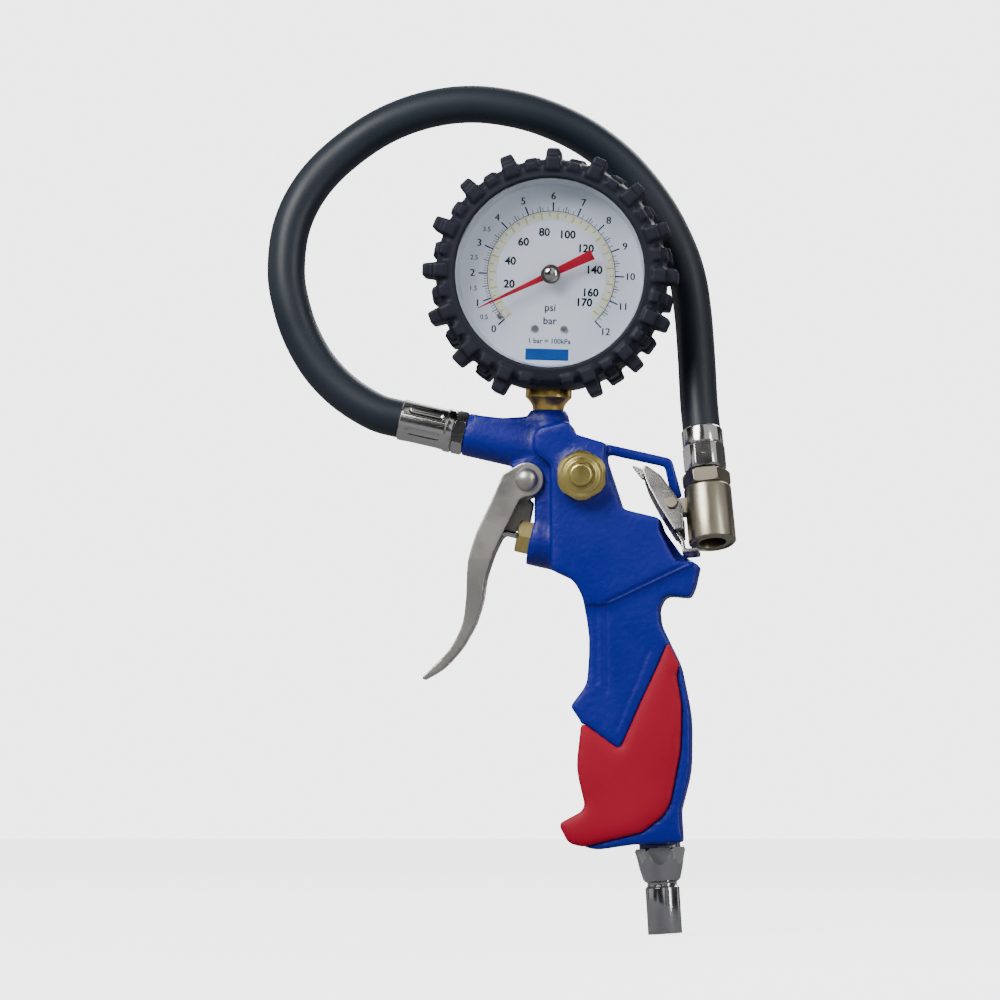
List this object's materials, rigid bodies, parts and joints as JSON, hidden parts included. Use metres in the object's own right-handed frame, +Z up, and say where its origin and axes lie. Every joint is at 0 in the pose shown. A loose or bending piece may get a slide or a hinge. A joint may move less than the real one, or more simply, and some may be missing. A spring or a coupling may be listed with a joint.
{
  "type": "tyre inflator with gauge",
  "caption": "Hand-held tyre inflator: cast pistol body with lever valve and bleed button, rubber-booted dial gauge, whip hose and clip-on chuck hung on the body's hook.",
  "frame": {"origin": "centre of the air plug's nose end, on the gun's mid-plane", "axes": "+X to the rear of the handle, +Z up the handle to the gauge, +Y away from the side that the dial faces"},
  "size_m": [0.1492, 0.0486, 0.2703],
  "materials": {
    "blue_paint": "semi-gloss hammered enamel",
    "red_grip": "satin overmoulded grip",
    "bright_steel": "bright nickel-chrome plate",
    "pressed_steel": "polished pressed sheet",
    "spring_steel": "drawn wire",
    "brass": "machined, light satin",
    "black_rubber": "moulded, matt",
    "hose_rubber": "extruded, matt with a soft sheen",
    "case_steel": "black enamel",
    "dial_white": "printed matt white",
    "needle_red": "satin enamel",
    "clear_lens": "clear flat lens"
  },
  "bodies": {
    "gun": {"body_casting": "blue_paint", "grip_cover": "red_grip", "air_plug": "bright_steel", "inlet_screen": "pressed_steel", "trigger_rivet": "bright_steel", "valve_gland": "brass", "gland_o_ring": "black_rubber", "valve_seat": "brass", "bleed_gland": "brass", "gauge_boot": "black_rubber", "gauge_case": "case_steel", "bezel_ring": "bright_steel", "window": "clear_lens", "window_gasket": "black_rubber", "dial_plate": "dial_white", "dial_screws": "pressed_steel", "stop_pin": "pressed_steel", "movement_front_plate": "brass", "movement_back_plate": "brass", "movement_pillars": "brass", "bourdon_tube": "brass", "tube_tip": "brass", "gauge_socket": "brass", "socket_screws": "pressed_steel", "relief_disc": "black_rubber", "hose_nipple": "bright_steel", "hose_ferrule": "bright_steel", "hose": "hose_rubber", "chuck_ferrule": "bright_steel", "chuck_nipple": "bright_steel", "chuck_body": "bright_steel", "chuck_seal": "black_rubber", "chuck_core": "brass", "mouth_ring": "bright_steel", "clip_pin": "bright_steel"},
    "trigger": {"trigger_lever": "pressed_steel"},
    "inflate_valve": {"valve_stem": "pressed_steel", "poppet_seal": "black_rubber", "valve_spring": "spring_steel"},
    "bleed_valve": {"bleed_button": "brass", "bleed_seal": "black_rubber", "bleed_spring": "spring_steel"},
    "pointer": {"needle": "needle_red", "arbor_pinion": "brass", "hairspring": "spring_steel"},
    "sector": {"sector_gear": "brass"},
    "link": {"bourdon_link": "brass"},
    "clip": {"clip_lever": "bright_steel", "clip_spring": "spring_steel"}
  },
  "joints": [
    {"name": "trigger_squeeze", "type": "hinge", "parent": "gun", "child": "trigger", "pos_m": [-0.0432, 0, 0.1429], "axis": [0, -1, 0], "range_deg": [0, 8.5], "stiffness_Nm_per_rad": 0.6, "springref_deg": -8.59},
    {"name": "valve_push", "type": "slide", "parent": "gun", "child": "inflate_valve", "axis": [0.9744, 0, -0.225], "range_m": [0, 0.003], "deforming": ["valve_spring"]},
    {"name": "bleed_push", "type": "slide", "parent": "gun", "child": "bleed_valve", "axis": [0, 1, 0], "range_m": [0, 0.002], "stiffness_N_per_m": 800, "springref_m": -0.002, "deforming": ["bleed_spring"]},
    {"name": "pointer_turn", "type": "hinge", "parent": "gun", "child": "pointer", "pos_m": [-0.0355, 0, 0.2075], "axis": [0, 1, 0], "range_deg": [-9.5, 252], "stiffness_Nm_per_rad": 0.001, "deforming": ["hairspring"]},
    {"name": "sector_turn", "type": "hinge", "parent": "gun", "child": "sector", "pos_m": [-0.0269, 0, 0.19472], "axis": [0, 1, 0], "range_deg": [-25.3, 1.05]},
    {"name": "link_turn", "type": "hinge", "parent": "sector", "child": "link", "pos_m": [-0.02031, 0, 0.19752], "axis": [0, 1, 0], "range_deg": [-1.05, 25.3]},
    {"name": "clip_open", "type": "hinge", "parent": "gun", "child": "clip", "pos_m": [0.00247, -0.00228, 0.13368], "axis": [0.0323, 0.9511, -0.3073], "range_deg": [0, 5], "stiffness_Nm_per_rad": 0.15, "springref_deg": -17.19, "deforming": ["clip_spring"]}
  ],
  "couplings": [
    {"joint": "valve_push", "follows": "trigger_squeeze", "m_per_rad": 0.0202},
    {"joint": "sector_turn", "follows": "pointer_turn", "ratio": -0.1},
    {"joint": "link_turn", "follows": "pointer_turn", "ratio": 0.1}
  ]
}
